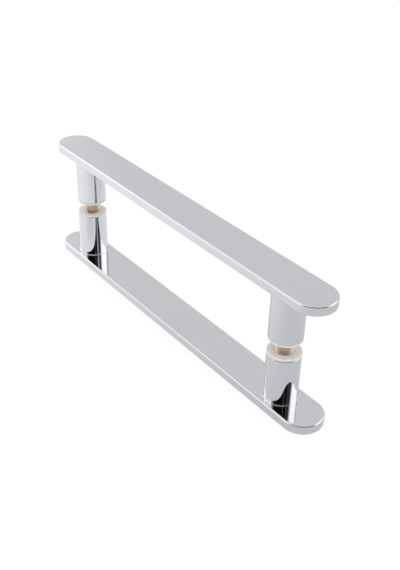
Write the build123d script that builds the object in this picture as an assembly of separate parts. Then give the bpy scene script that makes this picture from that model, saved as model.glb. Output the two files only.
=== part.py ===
from build123d import *
from math import radians, tan
import os

# Back-to-back pull handle for a glass door, in millimetres.
# Two flat, round-ended bars stand on turned posts, one pair on each side of the glass. A threaded stud runs
# through each glass hole. It is screwed into the outer post and held in the inner post by a grub screw. Clear
# washers and sleeves keep the metal off the glass.
# X runs along the bars, Y across them, and Z through the glass towards the outer bar. The origin is in the
# middle of the glass, midway between the two fixing holes.

# Glass panel
glass_thickness = 8.0
hole_spacing = 203.0

# Bars
bar_overhang = 30.5
bar_width = 26.0
bar_thickness = 6.0
bar_edge_radius = 1.0

# Posts
post_diameter = 20.0
post_length = 30.5
post_rim_chamfer = 0.2
post_foot_flare = 0.4

# Washers and sleeves
washer_thickness = 1.5
washer_edge_radius = 0.6
sleeve_wall = 1.65

# Studs through the glass
stud_diameter = 8.0
stud_grip_outer = 14.0
stud_grip_inner = 15.0
stud_end_chamfer = 0.8
stud_key = 4.0
stud_key_depth = 4.0

# Studs between bar and post
bar_stud_diameter = 8.0
bar_stud_grip_bar = 4.0
bar_stud_grip_post = 8.0
bar_stud_end_chamfer = 0.8
bar_stud_key = 4.0
bar_stud_key_depth = 4.0

# Grub screws, which lock the studs in the inner posts
grub_diameter = 5.0
grub_tip_diameter = 2.5
grub_recess = 0.8
grub_height = 8.0
grub_key = 2.5
grub_key_depth = 2.5
groove_depth = 1.0

# Clearances: threads are drawn as plain cylinders at their outer size
thread_clearance = 0.05
slip_clearance = 0.1
hole_end_clearance = 0.5
drill_point_angle = 118.0

# Worked out from the sizes above
bar_length = hole_spacing + 2 * bar_overhang
post_radius = post_diameter / 2
stud_radius = stud_diameter / 2
bar_stud_radius = bar_stud_diameter / 2
grub_radius = grub_diameter / 2
grub_tip_radius = grub_tip_diameter / 2
sleeve_bore_radius = stud_radius + slip_clearance
sleeve_radius = sleeve_bore_radius + sleeve_wall
washer_face = glass_thickness / 2
post_face = washer_face + washer_thickness
bar_face = post_face + post_length
groove_floor_radius = stud_radius - groove_depth
sides = {"left": -hole_spacing / 2, "right": hole_spacing / 2}
# The inner handle is the outer one turned over about X.
turned_over = Rot(180, 0, 0)


def upright(radius, height):
    """A cylinder standing on the XY plane."""
    return Cylinder(radius, height, align=(Align.CENTER, Align.CENTER, Align.MIN))


def drilled_hole(radius, depth):
    """The space that a twist drill leaves below the XY plane: a round hole with a pointed end."""
    point_height = radius / tan(radians(drill_point_angle / 2))
    wall = Pos(0, 0, -depth) * upright(radius, depth)
    point = Cone(0, radius, point_height, align=(Align.CENTER, Align.CENTER, Align.MAX))
    return wall + Pos(0, 0, -depth) * point


def key_socket(across_flats, depth):
    """The hexagon socket of a headless screw, sunk below the XY plane."""
    hexagon = RegularPolygon(across_flats / 2, 6, major_radius=False)
    return extrude(hexagon, -depth)


def bar():
    """A flat bar with full round ends and eased edges, its inner face on the XY plane."""
    plate = extrude(SlotOverall(bar_length, bar_width), bar_thickness)
    rims = plate.faces().sort_by(Axis.Z)[0].edges() + plate.faces().sort_by(Axis.Z)[-1].edges()
    plate = fillet(rims, min(bar_edge_radius, 0.45 * bar_thickness))
    tapped_hole = upright(bar_stud_radius + thread_clearance, bar_stud_grip_bar + hole_end_clearance)
    for x in sides.values():
        plate -= Pos(x, 0, 0) * tapped_hole
    return plate


def post(bore_radius, bore_depth):
    """A turned post with its glass end on the XY plane and a flared foot, drilled from both ends."""
    rod = upright(post_radius, post_length)
    rod = chamfer(rod.edges().filter_by(GeomType.CIRCLE).sort_by(Axis.Z)[0], post_rim_chamfer)
    foot_radius = post_radius + post_foot_flare
    flare = Cone(post_radius, foot_radius, post_foot_flare, align=(Align.CENTER, Align.CENTER, Align.MIN))
    rod += Pos(0, 0, post_length - post_foot_flare) * flare
    rod -= turned_over * drilled_hole(bore_radius, bore_depth)
    bar_stud_depth = bar_stud_grip_post + hole_end_clearance
    rod -= Pos(0, 0, post_length) * drilled_hole(bar_stud_radius + thread_clearance, bar_stud_depth)
    return rod


def outer_post():
    """The outer post is tapped for the stud."""
    return post(stud_radius + thread_clearance, stud_grip_outer + hole_end_clearance)


def inner_post():
    """The inner post slides over the stud, and a tapped cross hole takes its grub screw."""
    rod = post(stud_radius + slip_clearance, stud_grip_inner + hole_end_clearance)
    cross_hole = Rot(90, 0, 0) * upright(grub_radius + thread_clearance, post_diameter)
    return rod - Pos(0, 0, grub_height) * cross_hole


def washer():
    """A clear washer as wide as the post, with rolled edges, its glass face on the XY plane."""
    disc = upright(post_radius, washer_thickness)
    edge_radius = min(washer_edge_radius, 0.45 * washer_thickness)
    disc = fillet(disc.edges().filter_by(GeomType.CIRCLE), edge_radius)
    return disc - upright(sleeve_radius + slip_clearance, washer_thickness)


def sleeve():
    """A clear tube that lines the glass hole and reaches from one post to the other."""
    tube = Cylinder(sleeve_radius, 2 * post_face)
    return tube - Cylinder(sleeve_bore_radius, 2 * post_face)


def through_stud():
    """The stud through the glass, with a groove for the grub screw and a key socket in its inner end."""
    top = post_face + stud_grip_outer
    bottom = -post_face - stud_grip_inner
    groove_middle = -post_face - grub_height
    floor_half = grub_tip_radius + slip_clearance
    mouth_half = floor_half + groove_depth
    half_section = Polyline(
        (0, 0, bottom),
        (stud_radius - stud_end_chamfer, 0, bottom),
        (stud_radius, 0, bottom + stud_end_chamfer),
        (stud_radius, 0, groove_middle - mouth_half),
        (groove_floor_radius, 0, groove_middle - floor_half),
        (groove_floor_radius, 0, groove_middle + floor_half),
        (stud_radius, 0, groove_middle + mouth_half),
        (stud_radius, 0, top - stud_end_chamfer),
        (stud_radius - stud_end_chamfer, 0, top),
        (0, 0, top),
        close=True,
    )
    stud = revolve(make_face(half_section), Axis.Z)
    return stud - Pos(0, 0, bottom) * turned_over * key_socket(stud_key, stud_key_depth)


def bar_stud():
    """A headless screw from the bar's blind hole into the post, with its socket in the post's end."""
    screw = Pos(0, 0, -bar_stud_grip_post) * upright(bar_stud_radius, bar_stud_grip_post + bar_stud_grip_bar)
    screw = chamfer(screw.edges().filter_by(GeomType.CIRCLE), bar_stud_end_chamfer)
    return screw - Pos(0, 0, -bar_stud_grip_post) * turned_over * key_socket(bar_stud_key, bar_stud_key_depth)


def grub_screw():
    """A cone-point grub screw on +Z, its tip in the stud's groove and its socket just inside the post."""
    tip = groove_floor_radius + slip_clearance
    shoulder = tip + grub_radius - grub_tip_radius
    end = post_radius - grub_recess
    half_section = Polyline(
        (0, 0, tip),
        (grub_tip_radius, 0, tip),
        (grub_radius, 0, shoulder),
        (grub_radius, 0, end),
        (0, 0, end),
        close=True,
    )
    screw = revolve(make_face(half_section), Axis.Z)
    return screw - Pos(0, 0, end) * key_socket(grub_key, grub_key_depth)


def pieces():
    """Every piece of the handle in its place, by name."""
    outer_bar = Pos(0, 0, bar_face) * bar()
    made = {"outer_bar": outer_bar, "inner_bar": turned_over * outer_bar}
    # The cross holes and the grub screws face +Y.
    grub_place = Pos(0, 0, -post_face - grub_height) * Rot(-90, 0, 0)
    for side, x in sides.items():
        at = Pos(x, 0, 0)
        made[f"outer_post_{side}"] = at * Pos(0, 0, post_face) * outer_post()
        made[f"inner_post_{side}"] = at * turned_over * Pos(0, 0, post_face) * inner_post()
        made[f"outer_bar_stud_{side}"] = at * Pos(0, 0, bar_face) * bar_stud()
        made[f"inner_bar_stud_{side}"] = at * turned_over * Pos(0, 0, bar_face) * bar_stud()
        made[f"outer_washer_{side}"] = at * Pos(0, 0, washer_face) * washer()
        made[f"inner_washer_{side}"] = at * turned_over * Pos(0, 0, washer_face) * washer()
        made[f"sleeve_{side}"] = at * sleeve()
        made[f"through_stud_{side}"] = at * through_stud()
        made[f"grub_screw_{side}"] = at * grub_place * grub_screw()
    return made


os.makedirs("parts", exist_ok=True)
for name, solid in pieces().items():
    export_step(solid, f"parts/{name}.step")
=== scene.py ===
from math import atan2, cos, pi, radians, sin, tan

import bpy
import numpy as np
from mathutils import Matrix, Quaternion, Vector


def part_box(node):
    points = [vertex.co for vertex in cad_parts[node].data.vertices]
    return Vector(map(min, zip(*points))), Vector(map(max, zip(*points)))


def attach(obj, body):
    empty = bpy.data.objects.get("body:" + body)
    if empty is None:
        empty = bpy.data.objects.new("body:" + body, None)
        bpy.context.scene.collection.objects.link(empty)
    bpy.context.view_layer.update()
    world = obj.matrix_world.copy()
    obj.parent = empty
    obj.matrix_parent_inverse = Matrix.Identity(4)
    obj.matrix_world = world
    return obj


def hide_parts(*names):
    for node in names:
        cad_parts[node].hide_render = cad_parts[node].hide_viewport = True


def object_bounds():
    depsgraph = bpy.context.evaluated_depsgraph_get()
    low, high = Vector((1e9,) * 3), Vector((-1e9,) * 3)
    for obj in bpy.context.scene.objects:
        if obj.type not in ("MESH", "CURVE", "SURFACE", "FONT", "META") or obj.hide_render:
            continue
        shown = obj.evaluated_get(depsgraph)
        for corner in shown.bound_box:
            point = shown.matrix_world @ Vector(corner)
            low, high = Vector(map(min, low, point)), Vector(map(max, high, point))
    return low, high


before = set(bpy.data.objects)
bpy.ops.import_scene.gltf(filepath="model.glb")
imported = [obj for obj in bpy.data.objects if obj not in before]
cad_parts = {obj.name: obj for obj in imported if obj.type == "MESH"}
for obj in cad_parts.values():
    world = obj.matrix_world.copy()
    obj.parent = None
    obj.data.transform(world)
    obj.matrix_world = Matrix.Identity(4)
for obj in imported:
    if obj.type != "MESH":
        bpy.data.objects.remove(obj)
cad_low, cad_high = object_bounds()

# A back-to-back pull handle for a glass door: two chrome bars on turned posts, clear washers and sleeves
# that keep the metal off the glass, and brass studs through the glass. It stands on the outer face of its
# inner bar. X runs along the bars, Y across them and Z through the glass, in metres.

MM = 0.001

# Sizes that follow the solids
bar_low, bar_high = (np.array(corner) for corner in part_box("outer_bar"))
post_low, post_high = (np.array(corner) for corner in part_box("outer_post_right"))
washer_low, washer_high = (np.array(corner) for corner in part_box("outer_washer_right"))
sleeve_low, sleeve_high = (np.array(corner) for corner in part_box("sleeve_right"))
stud_low, stud_high = (np.array(corner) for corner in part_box("through_stud_right"))
bar_stud_low, bar_stud_high = (np.array(corner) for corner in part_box("outer_bar_stud_right"))
grub_low, grub_high = (np.array(corner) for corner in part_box("grub_screw_right"))

bar_length, bar_width, bar_thickness = bar_high - bar_low
bar_face = bar_low[2]
post_x = (post_low[0] + post_high[0]) / 2
post_radius = (washer_high[1] - washer_low[1]) / 2
foot_radius = (post_high[1] - post_low[1]) / 2
post_face = post_low[2]
post_length = bar_face - post_face
washer_face = washer_low[2]
sleeve_radius = (sleeve_high[1] - sleeve_low[1]) / 2
stud_radius = (stud_high[1] - stud_low[1]) / 2
bar_stud_radius = (bar_stud_high[1] - bar_stud_low[1]) / 2
grub_radius = (grub_high[0] - grub_low[0]) / 2
grub_height = -post_face - (grub_low[2] + grub_high[2]) / 2

# Where the middle of a bar meets its ends
bar_end_start = post_x - bar_width / 2

# Small sizes of the turned and milled edges, holes and threads
bar_edge = 1.0 * MM
glass_chamfer = 0.2 * MM
foot_cove = 0.3 * MM
washer_edge = 0.6 * MM
fine_edge = 0.12 * MM
thread_clearance = 0.05 * MM
slip_clearance = 0.1 * MM
hole_end_clearance = 0.5 * MM
rest_gap = 0.02 * MM
drill_point_half_angle = radians(59)
stud_chamfer = 0.8 * MM
stud_pitch = 1.25 * MM
stud_key = 4.0 * MM
grub_tip_radius = 1.25 * MM
grub_pitch = 0.8 * MM
grub_key = 2.5 * MM
groove_depth = 1.0 * MM

# A thread's depth, and the flats at its crest and its root, as shares of its pitch
thread_depth = 0.61
thread_flat = 0.125

# The window round the grub screw's hole, in a post's bore and in its wall: its half angle and half height
bore_window = radians(56)
wall_window = radians(26)
bore_reach = 3.4 * MM
wall_reach = 4.2 * MM

# Steps of the grids: round an axis, over a rounded corner and up one turn of a thread
ROUND_STEPS = 96
CORNER_STEPS = 6
THREAD_STEPS = 12
EVEN_TURN = np.linspace(0, 2 * pi, ROUND_STEPS + 1)

# Steps of a bar: over a quarter turn of an end, beside a hole, between the holes and across it
END_STEPS = 32
BESIDE_STEPS = 12
BETWEEN_STEPS = 16
ACROSS_STEPS = 16

# Steps of a window: along each side, and from the hole's rim to the border
WINDOW_STEPS = 16
RING_STEPS = 5

# Points of the bar's outline this near to a place are at it.
AT_PLACE = 0.001 * MM

# Points of a mesh that fall in one cell become one.
MERGE_CELL = 0.1037e-3 * MM


# A patch is a grid of points with the surface's normal at each of them.


def rounded_outline(corners, radii):
    """Points and outward normals of an outline with rounded corners.

    The material lies to the left of the way the corners run. At a corner the normal turns evenly from one
    side's normal to the next one's, and the point lies one radius from the arc's centre along it.
    """
    corners = np.array(corners, float)
    sides = np.diff(corners, axis=0)
    along = sides / np.hypot(sides[:, 0], sides[:, 1])[:, None]
    out = np.stack([along[:, 1], -along[:, 0]], axis=1)
    points = [corners[:1]]
    normals = [out[:1]]
    for corner, radius, before, after, normal in zip(corners[1:-1], radii, along, along[1:], out):
        turn = atan2(before[0] * after[1] - before[1] * after[0], before @ after)
        bulge = np.sign(turn) * radius
        centre = corner - before * radius * tan(abs(turn) / 2) - normal * bulge
        angle = atan2(normal[1], normal[0]) + turn * np.linspace(0, 1, CORNER_STEPS + 1)
        arc = np.stack([np.cos(angle), np.sin(angle)], axis=1)
        points.append(centre + bulge * arc)
        normals.append(arc)
    points.append(corners[-1:])
    normals.append(out[-1:])
    return np.concatenate(points), np.concatenate(normals)


def turned(corners, radii, turn=EVEN_TURN):
    """A rounded outline in (r, z) carried round the Z axis: x = r cos a, y = r sin a.

    turn gives the angles a, or works them out from r, so that they may differ by row.
    """
    outline, normals = rounded_outline(corners, radii)
    if callable(turn):
        turn = turn(outline[:, :1])
    angle = np.broadcast_to(turn, (len(outline), np.shape(turn)[-1]))
    round_way = np.stack([np.cos(angle), np.sin(angle)], axis=2)
    height = np.broadcast_to(outline[:, 1:, None], angle.shape + (1,))
    rise = np.broadcast_to(normals[:, 1:, None], angle.shape + (1,))
    points = np.concatenate([outline[:, :1, None] * round_way, height], axis=2)
    return points, np.concatenate([normals[:, :1, None] * round_way, rise], axis=2)


def flat_between(first, second, normal):
    """A flat patch ruled between two lines of points."""
    points = np.stack([first, second])
    return points, np.broadcast_to(np.array(normal, float), points.shape)


def thread(radius, pitch, low, high):
    """A threaded wall: r = radius - depth * groove, at angle a and height z.

    The groove rises and falls between 0 and 1 with z / pitch - a / (2 pi), is cut flat at its crest and
    root, and fades out over one pitch at each end. The normal is the cross product of the grid's two
    directions.
    """
    rows = int(THREAD_STEPS * (high - low) / pitch)
    z = np.linspace(low, high, rows)[:, None]
    turn = np.append(EVEN_TURN[-2] - 2 * pi, np.append(EVEN_TURN, EVEN_TURN[1] + 2 * pi))
    phase = (z / pitch - turn / (2 * pi)) % 1
    flank = 1 - thread_flat - np.abs(2 * phase - 1)
    groove = np.clip(flank / (1 - 2 * thread_flat), 0, 1)
    fade = np.clip(np.minimum(z - low, high - z) / pitch, 0, 1)
    r = radius - thread_depth * pitch * groove * fade
    points = np.stack([r * np.cos(turn), r * np.sin(turn), np.broadcast_to(z, r.shape)], axis=2)
    normals = np.cross(np.gradient(points, axis=1), np.gradient(points, axis=0))
    normals /= np.linalg.norm(normals, axis=2, keepdims=True)
    return points[:, 1:-1], normals[:, 1:-1]


def key_socket(across, depth, rim_radius, z, way):
    """A hexagon socket sunk from a round end face: the ring round it, six walls and the floor.

    The hexagon's edge at angle a is across / 2 divided by the cosine of the angle from the middle of its
    side. The socket opens towards way, which is +1 or -1 along Z.
    """
    side_middle = np.round(EVEN_TURN / (pi / 3)) * (pi / 3)
    edge = across / 2 / np.cos(EVEN_TURN - side_middle)
    round_way = np.stack([np.cos(EVEN_TURN), np.sin(EVEN_TURN), 0 * EVEN_TURN], axis=1)
    rim = rim_radius * round_way + (0, 0, z)
    mouth = edge[:, None] * round_way + (0, 0, z)
    floor = mouth - (0, 0, way * depth)
    middle = 0 * round_way + (0, 0, z - way * depth)
    patches = [flat_between(rim, mouth, (0, 0, way)), flat_between(floor, middle, (0, 0, way))]
    columns = ROUND_STEPS // 6
    for side in range(6):
        steps = (np.arange(columns + 1) + columns * side - columns // 2) % ROUND_STEPS
        inward = (-cos(side * pi / 3), -sin(side * pi / 3), 0)
        patches.append(flat_between(mouth[steps], floor[steps], inward))
    return patches


def drill_point(radius):
    """The height of the cone that a drill leaves at the end of a hole."""
    return radius / tan(drill_point_half_angle)


def upper_outline():
    """Half of the bar's outline, from its left tip over +Y to its right tip.

    It is a quarter turn, a straight and a quarter turn. The steps are finer at the round ends, and one pair
    of them lies where the middle of the bar meets its ends.
    """
    centre = (bar_length - bar_width) / 2
    angle = np.linspace(pi, pi / 2, END_STEPS + 1)
    left = np.stack([-centre + bar_width / 2 * np.cos(angle), bar_width / 2 * np.sin(angle)], axis=1)
    left_way = np.stack([np.cos(angle), np.sin(angle)], axis=1)
    left_end = np.linspace(-centre, -bar_end_start, BESIDE_STEPS + 1)
    between = np.linspace(-bar_end_start, bar_end_start, BETWEEN_STEPS + 1)
    right_end = np.linspace(bar_end_start, centre, BESIDE_STEPS + 1)
    x = np.concatenate([left_end[1:], between[1:], right_end[1:-1]])
    straight = np.stack([x, np.full_like(x, bar_width / 2)], axis=1)
    straight_way = np.stack([0 * x, 0 * x + 1], axis=1)
    mirror = np.array([-1, 1])
    points = np.concatenate([left, straight, left[::-1] * mirror])
    return points, np.concatenate([left_way, straight_way, left_way[::-1] * mirror])


def bar():
    """A flat bar with round ends, its inner face at z = 0: a rounded edge carried round it, and two faces.

    The outer face is ruled between the two halves of the outline. The inner face is a grid in the middle
    and, at each end, a ring from a blind hole to the outline, followed by the hole's wall and floor.
    """
    half, half_way = upper_outline()
    below = np.array([1, -1])
    path = np.concatenate([half, half[-2::-1] * below])
    path_way = np.concatenate([half_way, half_way[-2::-1] * below])
    edge_line, edge_way = rounded_outline(
        [(-bar_edge, 0), (0, 0), (0, bar_thickness), (-bar_edge, bar_thickness)], [bar_edge, bar_edge])
    level = np.broadcast_to(edge_line[:, 1:, None], (len(edge_line), len(path), 1))
    points = np.concatenate([path + edge_line[:, :1, None] * path_way, level], axis=2)
    rise = np.broadcast_to(edge_way[:, 1:, None], level.shape)
    normals = np.concatenate([edge_way[:, :1, None] * path_way, rise], axis=2)
    patches = [(points, normals)]

    inset = half - bar_edge * half_way
    outer = np.concatenate([inset, np.full((len(inset), 1), bar_thickness)], axis=1)
    patches.append(flat_between(outer, outer * (1, -1, 1), (0, 0, 1)))

    inner = np.concatenate([inset, np.zeros((len(inset), 1))], axis=1)
    across = np.linspace(1, -1, ACROSS_STEPS + 1)[:, None]
    middle = inner[np.abs(inner[:, 0]) < bar_end_start + AT_PLACE]
    grid = np.stack([middle * (1, way, 1) for way in across[:, 0]])
    patches.append((grid, np.broadcast_to((0.0, 0.0, -1.0), grid.shape)))
    hole_radius = bar_stud_radius + thread_clearance
    hole_depth = bar_stud_high[2] - bar_face + hole_end_clearance
    for hand in (-1, 1):
        reach = inner[inner[:, 0] > bar_end_start - AT_PLACE] * (hand, 1, 1)
        seam = reach[0] * (1, 0, 1) + across[::-1] * reach[0] * (0, 1, 0)
        border = np.concatenate([reach, (reach * (1, -1, 1))[-2::-1], seam[1:]])
        hole = (hand * post_x, 0, 0)
        outward = border - hole
        outward /= np.linalg.norm(outward, axis=1, keepdims=True)
        mouth = hole + hole_radius * outward
        deep = mouth + (0, 0, hole_depth)
        patches.append(flat_between(border, mouth, (0, 0, -1)))
        patches.append((np.stack([mouth, deep]), np.stack([-outward, -outward])))
        patches.append(flat_between(deep, 0 * deep + hole + (0, 0, hole_depth), (0, 0, -1)))
    return patches


def post_ends(bore_radius, bore_depth):
    """The corners of a post's outline in three runs: the drilled bore, the glass end and the bar's end."""
    hole_radius = bar_stud_radius + thread_clearance
    hole_end = post_length - (bar_face - bar_stud_low[2]) - hole_end_clearance
    bore = [(0, bore_depth + drill_point(bore_radius)), (bore_radius, bore_depth)]
    glass_end = [(bore_radius, 0), (post_radius - glass_chamfer, 0), (post_radius, glass_chamfer)]
    bar_end = [
        (post_radius, post_length - foot_radius + post_radius),
        (foot_radius, post_length),
        (hole_radius, post_length),
        (hole_radius, hole_end),
        (0, hole_end - drill_point(hole_radius)),
    ]
    return bore, glass_end, bar_end


def outer_post():
    """A turned post with its glass end at z = 0, drilled from both ends."""
    bore_depth = stud_high[2] - post_face + hole_end_clearance
    bore, glass_end, bar_end = post_ends(stud_radius + thread_clearance, bore_depth)
    radii = [fine_edge] * 4 + [foot_cove, fine_edge / 2, fine_edge, fine_edge]
    return [turned(bore + glass_end + bar_end, radii)]


def window_turn(half_angle):
    """Angles round a post that gather a fixed number of steps in a window towards -Y, last in the row."""
    start = -pi / 2 + half_angle
    window_start = 3 * pi / 2 - half_angle
    plain = np.linspace(start, window_start, ROUND_STEPS - WINDOW_STEPS + 1)
    window = np.linspace(window_start, 3 * pi / 2 + half_angle, WINDOW_STEPS + 1)
    return np.append(plain, window[1:])


def pierced_wall(radius, turn, half_height, hole_radius, facing):
    """A band of round wall with a round hole in it, towards -Y at the grub screw's height.

    Outside the window the band is a plain grid. In the window it is a ring from the hole's rim (x = h cos t,
    z = height + h sin t) to the window's border, straight in x and z, with y = -sqrt(radius^2 - x^2).
    """
    z = grub_height + np.linspace(-half_height, half_height, WINDOW_STEPS + 1)
    angle, height = np.meshgrid(turn[:-WINDOW_STEPS], z)
    plain = np.stack([radius * np.cos(angle), radius * np.sin(angle), height], axis=2)
    x = radius * np.cos(turn[-WINDOW_STEPS - 1:])
    border_x = np.concatenate([x, np.full(WINDOW_STEPS, x[-1]), x[-2::-1], np.full(WINDOW_STEPS, x[0])])
    border_z = np.concatenate([np.full(WINDOW_STEPS, z[0]), z, np.full(WINDOW_STEPS - 1, z[-1]), z[::-1]])
    around = np.linspace(-3 * pi / 4, 5 * pi / 4, 4 * WINDOW_STEPS + 1)
    share = np.linspace(0, 1, RING_STEPS + 1)[:, None]
    ring_x = (1 - share) * hole_radius * np.cos(around) + share * border_x
    ring_z = (1 - share) * (grub_height + hole_radius * np.sin(around)) + share * border_z
    ring = np.stack([ring_x, -np.sqrt(radius ** 2 - ring_x ** 2), ring_z], axis=2)
    flat = np.array([facing / radius, facing / radius, 0])
    return [(plain, plain * flat), (ring, ring * flat)], ring[0]


def inner_post():
    """A turned post whose bore slides over the stud, with a cross hole for the grub screw.

    The hole points to -Y here, and to +Y once the post is turned over. The angles round the bore and round
    the wall differ, so that both have as many steps across the hole. Between them the angle follows the
    radius.
    """
    bore_radius = stud_radius + slip_clearance
    hole_radius = grub_radius + thread_clearance
    bore_turn = window_turn(bore_window)
    wall_turn = window_turn(wall_window)

    def turn(r):
        share = np.clip((r - bore_radius) / (post_radius - bore_radius), 0, 1)
        return bore_turn + share * (wall_turn - bore_turn)

    bore_depth = -post_face - stud_low[2] + hole_end_clearance
    bore, glass_end, bar_end = post_ends(bore_radius, bore_depth)
    bore_walls, bore_rim = pierced_wall(bore_radius, bore_turn, bore_reach, hole_radius, -1)
    outer_walls, outer_rim = pierced_wall(post_radius, wall_turn, wall_reach, hole_radius, 1)
    across = (outer_rim - (0, 0, grub_height)) * (-1 / hole_radius, 0, -1 / hole_radius)
    above_bore = [(bore_radius, grub_height + bore_reach)]
    below_bore = [(bore_radius, grub_height - bore_reach)]
    below_wall = [(post_radius, grub_height - wall_reach)]
    above_wall = [(post_radius, grub_height + wall_reach)]
    return [
        turned(bore + above_bore, [fine_edge], turn),
        turned(below_bore + glass_end + below_wall, [fine_edge] * 3, turn),
        turned(above_wall + bar_end, [foot_cove, fine_edge / 2, fine_edge, fine_edge], turn),
        *bore_walls,
        *outer_walls,
        (np.stack([outer_rim, bore_rim]), np.stack([across, across])),
    ]


def washer():
    """A clear washer with rolled edges, its glass face at z = 0: a rounded rectangle carried round."""
    bore = sleeve_radius + rest_gap
    height = post_face - washer_face - rest_gap
    corners = [
        (bore, height / 2),
        (bore, 0),
        (post_radius, 0),
        (post_radius, height),
        (bore, height),
        (bore, height / 2),
    ]
    return [turned(corners, [fine_edge, washer_edge, washer_edge, fine_edge])]


def sleeve():
    """A clear tube that grips the stud, through both washers: a rounded rectangle carried round."""
    bore = stud_radius - rest_gap
    end = post_face - rest_gap
    corners = [(bore, 0), (bore, -end), (sleeve_radius, -end), (sleeve_radius, end), (bore, end), (bore, 0)]
    return [turned(corners, [fine_edge] * 4)]


def through_stud():
    """The stud through the glass: key socket, plain shank with a groove for the grub screw, threaded end."""
    groove_middle = -post_face - grub_height
    floor_half = grub_tip_radius + slip_clearance
    mouth_half = floor_half + groove_depth
    groove_radius = stud_radius - groove_depth
    shank_end = post_face + stud_pitch
    end_radius = stud_radius - stud_chamfer
    bottom = stud_low[2]
    top = stud_high[2]
    thread_end = top - stud_chamfer - fine_edge
    shank = [
        (end_radius - fine_edge, bottom),
        (end_radius, bottom),
        (stud_radius, bottom + stud_chamfer),
        (stud_radius, groove_middle - mouth_half),
        (groove_radius, groove_middle - floor_half),
        (groove_radius, groove_middle + floor_half),
        (stud_radius, groove_middle + mouth_half),
        (stud_radius, shank_end),
    ]
    point = [(stud_radius, thread_end), (stud_radius, top - stud_chamfer), (end_radius, top), (0, top)]
    return [
        *key_socket(stud_key, stud_key, end_radius - fine_edge, bottom, -1),
        turned(shank, [fine_edge] * 6),
        thread(stud_radius, stud_pitch, shank_end, thread_end),
        turned(point, [fine_edge] * 2),
    ]


def bar_stud():
    """A headless screw from the bar into the post, socket down, with the bar's face at z = 0."""
    bottom = bar_stud_low[2] - bar_face
    top = bar_stud_high[2] - bar_face
    end_radius = bar_stud_radius - stud_chamfer
    low = bottom + stud_chamfer + fine_edge
    high = top - stud_chamfer - fine_edge
    foot = [(end_radius - fine_edge, bottom), (end_radius, bottom), (bar_stud_radius, bottom + stud_chamfer)]
    point = [(bar_stud_radius, top - stud_chamfer), (end_radius, top), (0, top)]
    return [
        *key_socket(stud_key, stud_key, end_radius - fine_edge, bottom, -1),
        turned(foot + [(bar_stud_radius, low)], [fine_edge] * 2),
        thread(bar_stud_radius, stud_pitch, low, high),
        turned([(bar_stud_radius, high)] + point, [fine_edge] * 2),
    ]


def grub_screw():
    """A cone-point grub screw along Z, from its flat tip to its socket."""
    tip = grub_low[1]
    end = grub_high[1]
    shoulder = tip + grub_radius - grub_tip_radius
    low = shoulder + fine_edge
    high = end - 2 * fine_edge
    cone = [(0, tip), (grub_tip_radius, tip), (grub_radius, shoulder), (grub_radius, low)]
    head = [(grub_radius, high), (grub_radius, end), (grub_radius - 2 * fine_edge, end)]
    return [
        turned(cone, [fine_edge] * 2),
        thread(grub_radius, grub_pitch, low, high),
        turned(head, [fine_edge]),
        *key_socket(grub_key, grub_key, grub_radius - 2 * fine_edge, end, 1),
    ]


def placed(patches, x, z, turned_over=False):
    """Patches moved along X and Z and, on the inner handle, turned half way round the X axis."""
    turn = np.array([1, -1, -1]) if turned_over else np.array([1, 1, 1])
    return [((points + (x, 0, z)) * turn, normals * turn) for points, normals in patches]


def laid_towards_y(patches, x, z):
    """Patches along Z laid down along +Y: y becomes -z and z becomes y, then moved along X and Z."""
    swap = [0, 2, 1]
    turn = np.array([1, 1, -1])
    place = (x, 0, z)
    return [(points[..., swap] * turn + place, normals[..., swap] * turn) for points, normals in patches]


def make_piece(name, patches, material):
    """One closed mesh from patches that share their borders, which stands for the solid of the same name.

    Points that fall together become one. A face that runs against its normals is turned round, and a quad
    with a side of no length, at a pole, becomes a triangle. Each corner keeps its patch's normal, so edges
    stay crisp and curves smooth.
    """
    quads = []
    count = 0
    for points, normals in patches:
        number = count + np.arange(points[..., 0].size).reshape(points.shape[:2])
        corners = [number[:-1, :-1], number[1:, :-1], number[1:, 1:], number[:-1, 1:]]
        quads.append(np.stack(corners, axis=2).reshape(-1, 4))
        count += number.size
    quads = np.concatenate(quads)
    points = np.concatenate([points.reshape(-1, 3) for points, normals in patches])
    normals = np.concatenate([normals.reshape(-1, 3) for points, normals in patches])
    facing = np.cross(points[quads[:, 2]] - points[quads[:, 0]], points[quads[:, 3]] - points[quads[:, 1]])
    against = np.einsum("ij,ij->i", facing, normals[quads].sum(axis=1)) < 0
    quads[against] = quads[against][:, ::-1]

    keys = np.round(points / MERGE_CELL).astype(np.int64)
    _, first, shared = np.unique(keys, axis=0, return_index=True, return_inverse=True)
    shared = shared.reshape(-1)
    closed = shared[quads] == shared[np.roll(quads, -1, axis=1)]
    full = quads[closed.sum(axis=1) == 0]
    at_pole = closed.sum(axis=1) == 1
    thirds = quads[at_pole][~closed[at_pole]].reshape(-1, 3)
    corner_normals = np.concatenate([normals[full.reshape(-1)], normals[thirds.reshape(-1)]])

    mesh = bpy.data.meshes.new(name + "_surface")
    mesh.from_pydata(points[first].tolist(), [], shared[full].tolist() + shared[thirds].tolist())
    mesh.polygons.foreach_set("use_smooth", np.ones(len(mesh.polygons), bool))
    mesh.normals_split_custom_set(corner_normals.tolist())
    mesh.materials.append(material)
    piece = bpy.data.objects.new(name + "_piece", mesh)
    bpy.context.scene.collection.objects.link(piece)
    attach(piece, "root")
    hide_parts(name)


def add_node(tree, kind, inputs=None, **settings):
    """A shader node with its settings, each input set to a value or joined to another node's output."""
    node = tree.nodes.new(kind)
    for name, value in settings.items():
        setattr(node, name, value)
    for name, value in (inputs or {}).items():
        if isinstance(value, bpy.types.NodeSocket):
            tree.links.new(value, node.inputs[name])
        else:
            node.inputs[name].default_value = value
    return node


def calculate(tree, operation, first, second=0.0, clamp=False):
    """The output of one Math node."""
    inputs = {0: first, 1: second}
    return add_node(tree, "ShaderNodeMath", inputs, operation=operation, use_clamp=clamp).outputs[0]


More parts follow.
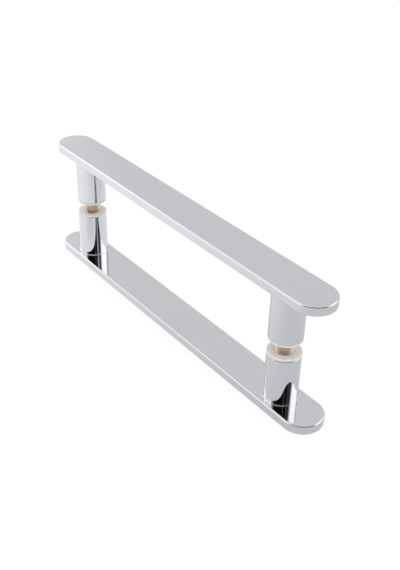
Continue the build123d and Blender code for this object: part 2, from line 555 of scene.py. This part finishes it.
def measure(tree, operation, first, second):
    """The number that one Vector Math node puts out."""
    inputs = {0: first, 1: second}
    return add_node(tree, "ShaderNodeVectorMath", inputs, operation=operation).outputs["Value"]


def mixed(tree, share, first, second):
    """A number from first, where share is 0, to second, where it is 1."""
    return add_node(tree, "ShaderNodeMix", {0: share, 2: first, 3: second}).outputs[0]


def spread(tree, value, low, high, to_low, to_high, soft=False):
    """A value between low and high, carried to the range from to_low to to_high."""
    inputs = {"Value": value, "From Min": low, "From Max": high, "To Min": to_low, "To Max": to_high}
    kind = "SMOOTHSTEP" if soft else "LINEAR"
    return add_node(tree, "ShaderNodeMapRange", inputs, interpolation_type=kind).outputs["Result"]


def mirror_rays(tree, path):
    """1 for a ray that a surface mirrors or lets through, and 0 for any other."""
    return calculate(tree, "MAXIMUM", path["Is Glossy Ray"], path["Is Transmission Ray"])


def new_group(name, inputs, outputs):
    """An empty shader node group with its named inputs and outputs."""
    group = bpy.data.node_groups.new(name, "ShaderNodeTree")
    for label, kind in inputs:
        group.interface.new_socket(label, in_out="INPUT", socket_type=kind)
    for label, kind in outputs:
        group.interface.new_socket(label, in_out="OUTPUT", socket_type=kind)
    return group, group.nodes.new("NodeGroupInput"), group.nodes.new("NodeGroupOutput")


def surface_marks_group():
    """Soft clouds and fine lines on a worked surface, both from 0 to 1.

    The clouds are noise on Object coordinates. The lines are noise on the same coordinates stretched by Line
    Scale, so a small scale along an axis draws the marks out along it. Both are spread from the range that
    noise mostly takes.
    """
    usual_low = 0.3
    usual_high = 0.7
    group, given, put_out = new_group(
        "surface_marks",
        [("Cloud Scale", "NodeSocketFloat"), ("Line Scale", "NodeSocketVector")],
        [("Clouds", "NodeSocketFloat"), ("Lines", "NodeSocketFloat")])
    place = group.nodes.new("ShaderNodeTexCoord").outputs["Object"]
    stretch = {0: place, 1: given.outputs["Line Scale"]}
    drawn = add_node(group, "ShaderNodeVectorMath", stretch, operation="MULTIPLY").outputs["Vector"]
    noises = {
        "Clouds": {"Vector": place, "Scale": given.outputs["Cloud Scale"], "Detail": 4.0},
        "Lines": {"Vector": drawn, "Scale": 1.0, "Detail": 2.0},
    }
    for label, inputs in noises.items():
        noise = add_node(group, "ShaderNodeTexNoise", inputs).outputs["Fac"]
        group.links.new(spread(group, noise, usual_low, usual_high, 0.0, 1.0), put_out.inputs[label])
    return group


def marked_material(name, marks, cloud_scale, line_scale, clean, dull, smooth, rough, relief, **constants):
    """A material whose colour and roughness drift with the clouds, and whose normal follows the fine lines.

    clean and dull are the two colours, smooth and rough the two roughnesses, and relief the height of the
    lines.
    """
    material = bpy.data.materials.new(name)
    material.use_nodes = True
    tree = material.node_tree
    shader = tree.nodes["Principled BSDF"]
    for label, value in constants.items():
        shader.inputs[label.replace("_", " ")].default_value = value
    scales = {"Cloud Scale": cloud_scale, "Line Scale": line_scale}
    worn = add_node(tree, "ShaderNodeGroup", scales, node_tree=marks)
    ramp = tree.nodes.new("ShaderNodeValToRGB")
    ramp.color_ramp.elements[0].color = (*clean, 1.0)
    ramp.color_ramp.elements[1].color = (*dull, 1.0)
    tree.links.new(worn.outputs["Clouds"], ramp.inputs["Fac"])
    tree.links.new(ramp.outputs["Color"], shader.inputs["Base Color"])
    roughness = spread(tree, worn.outputs["Clouds"], 0.0, 1.0, smooth, rough)
    tree.links.new(roughness, shader.inputs["Roughness"])
    lines = {"Height": worn.outputs["Lines"], "Strength": 1.0, "Distance": relief}
    bump = add_node(tree, "ShaderNodeBump", lines)
    tree.links.new(bump.outputs["Normal"], shader.inputs["Normal"])
    return material


def dense_edges(material, middle, edge):
    """Makes a clear wall hide more where the eye looks along it: its Alpha rises from middle to edge.

    Layer Weight's Facing is 0 where the wall faces the eye, and 1 where the eye looks along it.
    """
    clear_to = 0.20
    dense_from = 0.50
    tree = material.node_tree
    edge_on = add_node(tree, "ShaderNodeLayerWeight", {"Blend": 0.5}).outputs["Facing"]
    alpha = spread(tree, edge_on, clear_to, dense_from, middle, edge, soft=True)
    tree.links.new(alpha, tree.nodes["Principled BSDF"].inputs["Alpha"])


marks = surface_marks_group()

# Mirror chrome: hardly any relief, with a breath of haze.
chrome = marked_material(
    "mirror_chrome", marks, cloud_scale=22.0, line_scale=(90.0, 90.0, 90.0), clean=(0.732, 0.736, 0.782),
    dull=(0.728, 0.746, 0.758), smooth=0.025, rough=0.05, relief=0.0012 * MM, Metallic=1.0)

# Clear soft plastic of the washers, a little hazy and greenish.
clear_plastic = marked_material(
    "clear_washer_plastic", marks, cloud_scale=300.0, line_scale=(500.0, 500.0, 500.0),
    clean=(0.78, 0.79, 0.77), dull=(0.74, 0.75, 0.725), smooth=0.12, rough=0.20, relief=0.004 * MM, IOR=1.46,
    Subsurface_Weight=0.4, Subsurface_Radius=(1.0, 1.0, 1.0), Subsurface_Scale=0.6 * MM)

# Clear sleeve tube, drawn lengthways and tinted by the stud inside it. It hides little of the stud in the
# middle, and more at its edges.
clear_tube = marked_material(
    "clear_sleeve_tube", marks, cloud_scale=250.0, line_scale=(900.0, 900.0, 60.0), clean=(0.84, 0.69, 0.55),
    dull=(0.80, 0.65, 0.51), smooth=0.03, rough=0.07, relief=0.001 * MM, IOR=1.46)
dense_edges(clear_tube, middle=0.30, edge=0.95)

# Turned brass of the studs: fine rings round the axis.
turned_brass = marked_material(
    "turned_brass", marks, cloud_scale=350.0, line_scale=(60.0, 60.0, 4200.0), clean=(0.66, 0.40, 0.22),
    dull=(0.60, 0.35, 0.18), smooth=0.22, rough=0.28, relief=0.0006 * MM, Metallic=1.0)

# Zinc-plated steel of the hidden screws.
plated_steel = marked_material(
    "plated_steel", marks, cloud_scale=400.0, line_scale=(1200.0, 1200.0, 1200.0), clean=(0.58, 0.59, 0.61),
    dull=(0.44, 0.45, 0.48), smooth=0.26, rough=0.42, relief=0.008 * MM, Metallic=1.0)

# The pieces, each in its solid's place
make_piece("outer_bar", placed(bar(), 0, bar_face), chrome)
make_piece("inner_bar", placed(bar(), 0, bar_face, True), chrome)
for side, x in (("left", -post_x), ("right", post_x)):
    make_piece(f"outer_post_{side}", placed(outer_post(), x, post_face), chrome)
    make_piece(f"inner_post_{side}", placed(inner_post(), x, post_face, True), chrome)
    make_piece(f"outer_washer_{side}", placed(washer(), x, washer_face), clear_plastic)
    make_piece(f"inner_washer_{side}", placed(washer(), x, washer_face, True), clear_plastic)
    make_piece(f"sleeve_{side}", placed(sleeve(), x, 0), clear_tube)
    make_piece(f"through_stud_{side}", placed(through_stud(), x, 0), turned_brass)
    make_piece(f"outer_bar_stud_{side}", placed(bar_stud(), x, bar_face), plated_steel)
    make_piece(f"inner_bar_stud_{side}", placed(bar_stud(), x, bar_face, True), plated_steel)
    laid_screw = laid_towards_y(grub_screw(), x, -post_face - grub_height)
    make_piece(f"grub_screw_{side}", laid_screw, plated_steel)


def soft_window_group():
    """1 where an angle lies within Half Width of Middle, falling smoothly to 0 over Softness, in degrees."""
    half_turn = 180.0
    group, given, put_out = new_group(
        "soft_window",
        [(label, "NodeSocketFloat") for label in ("Angle", "Middle", "Half Width", "Softness")],
        [("Mask", "NodeSocketFloat")])
    away = calculate(group, "SUBTRACT", given.outputs["Angle"], given.outputs["Middle"])
    limits = {0: away, 1: half_turn, 2: -half_turn}
    wrapped = add_node(group, "ShaderNodeMath", limits, operation="WRAP").outputs[0]
    distance = calculate(group, "ABSOLUTE", wrapped)
    beyond = calculate(group, "SUBTRACT", distance, given.outputs["Half Width"])
    share = calculate(group, "DIVIDE", beyond, given.outputs["Softness"])
    group.links.new(spread(group, share, -0.5, 0.5, 1.0, 0.0, soft=True), put_out.inputs["Mask"])
    return group


# The light that the chrome finds in the room, where 1 is white. The gap in the frame takes light away.
WALL_FOOT_LIGHT = 1.06
WALL_TOP_LIGHT = 0.735
LEFT_BOX_LIGHT = 0.28
KEY_BOX_LIGHT = 0.25
RIGHT_BOX_LIGHT = 1.10
LEFT_BAND_LIGHT = 0.75
FRAME_GAP_LIGHT = -0.17
SHEEN_LIGHT = 0.06
STREAK_LIGHT = 0.12

# The share of the light that is left on the dark side, and how much of that darkness reaches its foot
DARK_SIDE_SHARE = 0.006
DARK_FOOT_DEPTH = 0.50

# The colours of the room, and of the key box and the soft box on the right
PLAIN_WHITE = (1.0, 1.0, 1.0, 1.0)
WARM_WHITE = (1.0, 0.98, 0.94, 1.0)


def studio_world():
    """A white room for the chrome to mirror, by azimuth and elevation in degrees.

    The back wall fades from its bright foot to a greyer top. On the right behind the object a soft box
    glows, with the dimmer gap of its frame beside it. On the left are a broad box, a key box in it and a
    narrow bright band. The side where the camera stands is dark, with a lighter foot, two faint upright
    sheens and a short streak. For the camera itself and for matt surfaces the room is evenly bright.
    """
    world = bpy.data.worlds.new("white_studio")
    bpy.context.scene.world = world
    world.use_nodes = True
    tree = world.node_tree
    window = soft_window_group()
    way = tree.nodes.new("ShaderNodeTexCoord").outputs["Generated"]
    parts = add_node(tree, "ShaderNodeSeparateXYZ", {"Vector": way}).outputs
    azimuth = calculate(tree, "DEGREES", calculate(tree, "ARCTAN2", parts["Y"], parts["X"]))
    elevation = calculate(tree, "DEGREES", calculate(tree, "ARCSINE", parts["Z"]))

    def masked(angle, middle, half_width, softness):
        """1 inside a soft window of one angle, and 0 outside it."""
        inputs = {"Angle": angle, "Middle": middle, "Half Width": half_width, "Softness": softness}
        return add_node(tree, "ShaderNodeGroup", inputs, node_tree=window).outputs["Mask"]

    def patch(across, up):
        """1 inside a soft window of azimuth and elevation, each a middle, a half width and a softness."""
        return calculate(tree, "MULTIPLY", masked(azimuth, *across), masked(elevation, *up))

    def lit_by(light, mask, level):
        """A light with a further one of this level added where the mask is 1."""
        return calculate(tree, "ADD", light, calculate(tree, "MULTIPLY", mask, level))

    back_wall = spread(
        tree, elevation, low=6.0, high=24.0, to_low=WALL_FOOT_LIGHT, to_high=WALL_TOP_LIGHT, soft=True)
    left_box = masked(azimuth, middle=-133.0, half_width=72.0, softness=18.0)
    key_box = patch(across=(-116.0, 16.0, 24.0), up=(30.0, 14.0, 16.0))
    right_box = patch(across=(58.0, 29.0, 24.0), up=(33.0, 13.0, 20.0))
    left_band = patch(across=(-170.0, 16.0, 12.0), up=(34.0, 7.0, 7.0))
    frame_gap = patch(across=(107.0, 8.0, 12.0), up=(34.0, 10.0, 14.0))
    lit = lit_by(back_wall, left_box, LEFT_BOX_LIGHT)
    lit = lit_by(lit, key_box, KEY_BOX_LIGHT)
    lit = lit_by(lit, right_box, RIGHT_BOX_LIGHT)
    lit = lit_by(lit, left_band, LEFT_BAND_LIGHT)
    lit = lit_by(lit, frame_gap, FRAME_GAP_LIGHT)

    dark_left = spread(tree, azimuth, low=-110.0, high=-80.0, to_low=0.0, to_high=1.0, soft=True)
    dark_right = spread(tree, azimuth, low=14.0, high=36.0, to_low=1.0, to_high=0.0, soft=True)
    dark_top = spread(tree, elevation, low=44.0, high=62.0, to_low=1.0, to_high=0.0, soft=True)
    dark_foot = spread(tree, elevation, low=10.0, high=25.0, to_low=DARK_FOOT_DEPTH, to_high=1.0, soft=True)
    dark_side = calculate(tree, "MULTIPLY", dark_left, dark_right)
    dark_side = calculate(tree, "MULTIPLY", dark_side, dark_top)
    dark_side = calculate(tree, "MULTIPLY", dark_side, dark_foot)
    lit = calculate(tree, "MULTIPLY", lit, spread(tree, dark_side, 0.0, 1.0, 1.0, DARK_SIDE_SHARE))
    left_sheen = masked(azimuth, middle=-21.0, half_width=3.0, softness=6.0)
    right_sheen = masked(azimuth, middle=5.0, half_width=6.0, softness=10.0)
    streak = patch(across=(0.0, 7.0, 12.0), up=(31.0, 3.0, 8.0))
    lit = lit_by(lit, calculate(tree, "ADD", left_sheen, right_sheen), SHEEN_LIGHT)
    mirrored = lit_by(lit, streak, STREAK_LIGHT)

    path = tree.nodes.new("ShaderNodeLightPath").outputs
    indirect = mixed(tree, mirror_rays(tree, path), 1.0, mirrored)
    strength = mixed(tree, path["Is Camera Ray"], indirect, 1.0)
    tree.links.new(strength, tree.nodes["Background"].inputs["Strength"])
    warmth = calculate(tree, "ADD", key_box, right_box, clamp=True)
    colours = {0: warmth, 6: PLAIN_WHITE, 7: WARM_WHITE}
    colour = add_node(tree, "ShaderNodeMix", colours, data_type="RGBA").outputs[2]
    tree.links.new(colour, tree.nodes["Background"].inputs["Color"])


# The floor in metres, and the light that the camera and the chrome find on it
FLOOR_REACH = 6.0
FLOOR_GAP = 0.05 * MM
FLOOR_PAINT = (0.86, 0.86, 0.87, 1.0)
FLOOR_GLOW_SHARE = 0.8
FLOOR_WHITE = 1.06
# A painted falloff of light on the floor's glow: its way, where it starts and ends, and the light at each
# end
FADE_WAY = (0.91, 0.41, 0.0)
FADE_START = -0.22
FADE_END = 0.17
FADE_START_LIGHT = 1.04
FADE_END_LIGHT = 0.64
# A soft spot of painted shade on the floor's glow: its place, the core and reach of its fall-off, and the
# light it takes away
DIM_PLACE = (-0.06, -0.06)
DIM_CORE = 0.015
DIM_REACH = 0.05
DIM_DEPTH = 0.20


def studio_floor():
    """A pale floor under the handle, white to the camera, that takes a faint shadow.

    In the chrome a painted falloff of light greys it towards +X, and a soft spot of painted shade
    lies before the left posts.
    """
    level = cad_low[2] - FLOOR_GAP
    corners = [
        (-FLOOR_REACH, -FLOOR_REACH, level),
        (FLOOR_REACH, -FLOOR_REACH, level),
        (FLOOR_REACH, FLOOR_REACH, level),
        (-FLOOR_REACH, FLOOR_REACH, level),
    ]
    mesh = bpy.data.meshes.new("floor_surface")
    mesh.from_pydata(corners, [], [(0, 1, 2, 3)])
    floor = bpy.data.objects.new("studio_floor", mesh)
    bpy.context.scene.collection.objects.link(floor)
    material = bpy.data.materials.new("pale_floor")
    material.use_nodes = True
    tree = material.node_tree
    tree.nodes.remove(tree.nodes["Principled BSDF"])
    place = tree.nodes.new("ShaderNodeTexCoord").outputs["Object"]
    # Painted light: the glow that the camera and mirrors see falls off along FADE_WAY
    along = measure(tree, "DOT_PRODUCT", place, FADE_WAY)
    fade = spread(tree, along, FADE_START, FADE_END, FADE_START_LIGHT, FADE_END_LIGHT, soft=True)
    # Painted shade: a soft dim spot taken off the floor's glow before the left posts
    away = measure(tree, "DISTANCE", place, (*DIM_PLACE, float(level)))
    dim = spread(tree, away, DIM_CORE, DIM_REACH, DIM_DEPTH, 0.0, soft=True)
    glow = calculate(tree, "SUBTRACT", fade, dim)
    path = tree.nodes.new("ShaderNodeLightPath").outputs
    strength = mixed(tree, path["Is Camera Ray"], glow, FLOOR_WHITE)
    plain = add_node(tree, "ShaderNodeBsdfDiffuse", {"Color": FLOOR_PAINT}).outputs[0]
    white = add_node(tree, "ShaderNodeEmission", {"Strength": strength}).outputs[0]
    seen = calculate(tree, "MAXIMUM", mirror_rays(tree, path), path["Is Camera Ray"])
    share = calculate(tree, "MULTIPLY", seen, FLOOR_GLOW_SHARE)
    both = add_node(tree, "ShaderNodeMixShader", {0: share, 1: plain, 2: white}).outputs[0]
    tree.links.new(both, tree.nodes["Material Output"].inputs["Surface"])
    mesh.materials.append(material)


def studio_lamp():
    """One wide soft lamp above on the left, which only throws the shadow: the chrome mirrors the room."""
    data = bpy.data.lights.new("soft_lamp", "AREA")
    data.size = 1.6
    data.energy = 4.0
    lamp = bpy.data.objects.new("soft_lamp", data)
    lamp.location = (-0.5, -0.2, 1.6)
    lamp.rotation_mode = "QUATERNION"
    lamp.rotation_quaternion = (-lamp.location).to_track_quat("-Z", "Y")
    lamp.visible_glossy = False
    lamp.visible_transmission = False
    bpy.context.scene.collection.objects.link(lamp)


def photo_camera():
    """The photograph's camera: its eye, the point that it looks at, a slight roll and a shifted frame."""
    data = bpy.data.cameras.new("photo_camera")
    data.sensor_width = 36.0
    data.lens = 52.3
    data.shift_y = -0.0554
    data.clip_start = 0.01
    camera = bpy.data.objects.new("photo_camera", data)
    camera.location = (0.36007, -0.26471, 0.27043)
    aim = Vector((0.00626, 0.01411, 0.00652))
    roll = Quaternion((0, 0, 1), radians(1.595))
    camera.rotation_mode = "QUATERNION"
    camera.rotation_quaternion = (aim - camera.location).to_track_quat("-Z", "Y") @ roll
    bpy.context.scene.collection.objects.link(camera)
    bpy.context.scene.camera = camera


studio_world()
studio_floor()
studio_lamp()
photo_camera()
bpy.context.scene.view_settings.view_transform = "Standard"
